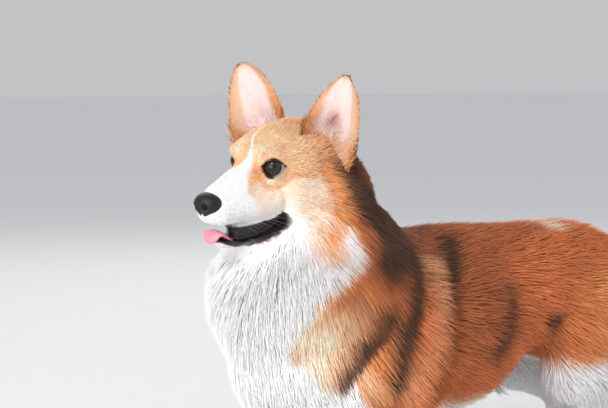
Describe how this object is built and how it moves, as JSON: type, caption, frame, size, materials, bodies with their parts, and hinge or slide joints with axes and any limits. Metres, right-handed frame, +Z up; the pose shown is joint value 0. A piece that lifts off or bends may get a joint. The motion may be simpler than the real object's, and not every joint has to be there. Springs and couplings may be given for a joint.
{
  "type": "pembroke welsh corgi",
  "caption": "Life-size Pembroke Welsh Corgi standing with raised head and slightly open mouth: short legs, long body, pricked ears, bobtail, thick red and white coat.",
  "frame": {"origin": "under the middle of the dog's bounding box, in the plane of the floor that the soles stand on", "axes": "+Z up; the dog faces -X, its left side is towards -Y"},
  "size_m": [0.6152, 0.2226, 0.4793],
  "materials": {
    "red_coat": "matt fur",
    "white_coat": "matt fur",
    "cream_coat": "matt fur",
    "nose_leather": "moist black",
    "eye": "wet gloss",
    "tongue": "moist",
    "claw": "satin horn"
  },
  "bodies": {
    "root": {"head": "red_coat", "lower_jaw": "white_coat", "nose": "nose_leather", "tongue": "tongue", "eye_left": "eye", "ear_left": "red_coat", "eye_right": "eye", "ear_right": "red_coat", "neck": "white_coat", "chest": "white_coat", "barrel": "red_coat", "rump": "red_coat", "tail": "cream_coat", "foreleg_left": "white_coat", "forepaw_left": "white_coat", "thigh_left": "red_coat", "hindleg_left": "white_coat", "hindpaw_left": "white_coat", "foreclaw_left_1": "claw", "foreclaw_left_2": "claw", "foreclaw_left_3": "claw", "foreclaw_left_4": "claw", "hindclaw_left_1": "claw", "hindclaw_left_2": "claw", "hindclaw_left_3": "claw", "hindclaw_left_4": "claw", "foreleg_right": "white_coat", "forepaw_right": "white_coat", "thigh_right": "red_coat", "hindleg_right": "white_coat", "hindpaw_right": "white_coat", "foreclaw_right_1": "claw", "foreclaw_right_2": "claw", "foreclaw_right_3": "claw", "foreclaw_right_4": "claw", "hindclaw_right_1": "claw", "hindclaw_right_2": "claw", "hindclaw_right_3": "claw", "hindclaw_right_4": "claw"}
  },
  "joints": []
}
